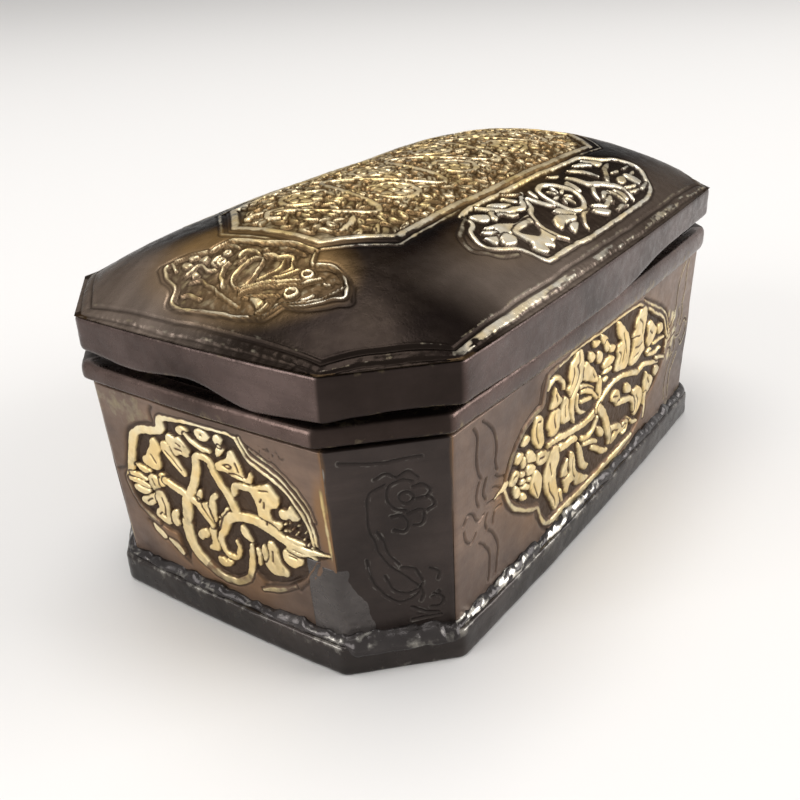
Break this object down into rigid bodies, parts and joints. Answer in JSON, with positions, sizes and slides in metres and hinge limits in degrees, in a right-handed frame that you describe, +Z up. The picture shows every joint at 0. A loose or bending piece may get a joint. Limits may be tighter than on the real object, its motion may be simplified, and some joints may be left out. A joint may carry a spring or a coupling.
{
  "type": "carved brass box",
  "caption": "Oblong octagonal cast brass box with a projecting foot, leaning walls, a moulded mouth and a domed lift-off lid, for keeping small things.",
  "frame": {"origin": "middle of the flat underside of the foot", "axes": "+Z up through the lid, X along the long sides, front long side faces -Y"},
  "size_m": [0.1992, 0.1168, 0.0968],
  "materials": {
    "patinated_brass": "dark brown patina, satin, worn to bright brass on carved high spots and edges",
    "worn_brass": "dark patina with chased ornament rubbed to golden brass",
    "brazing_metal": "rough grey-brown braze, pitted and partly shiny"
  },
  "bodies": {
    "box": {"base_plate": "patinated_brass", "body_wall": "patinated_brass", "rim_band": "patinated_brass", "foot_braze": "brazing_metal", "seam_braze": "brazing_metal"},
    "lid": {"lid_skirt": "patinated_brass", "lid_top": "worn_brass", "lid_lip": "patinated_brass"}
  },
  "joints": [
    {"name": "lid_lift", "type": "slide", "parent": "box", "child": "lid", "axis": [0, 0, 1], "range_m": [0, 0.07]}
  ]
}
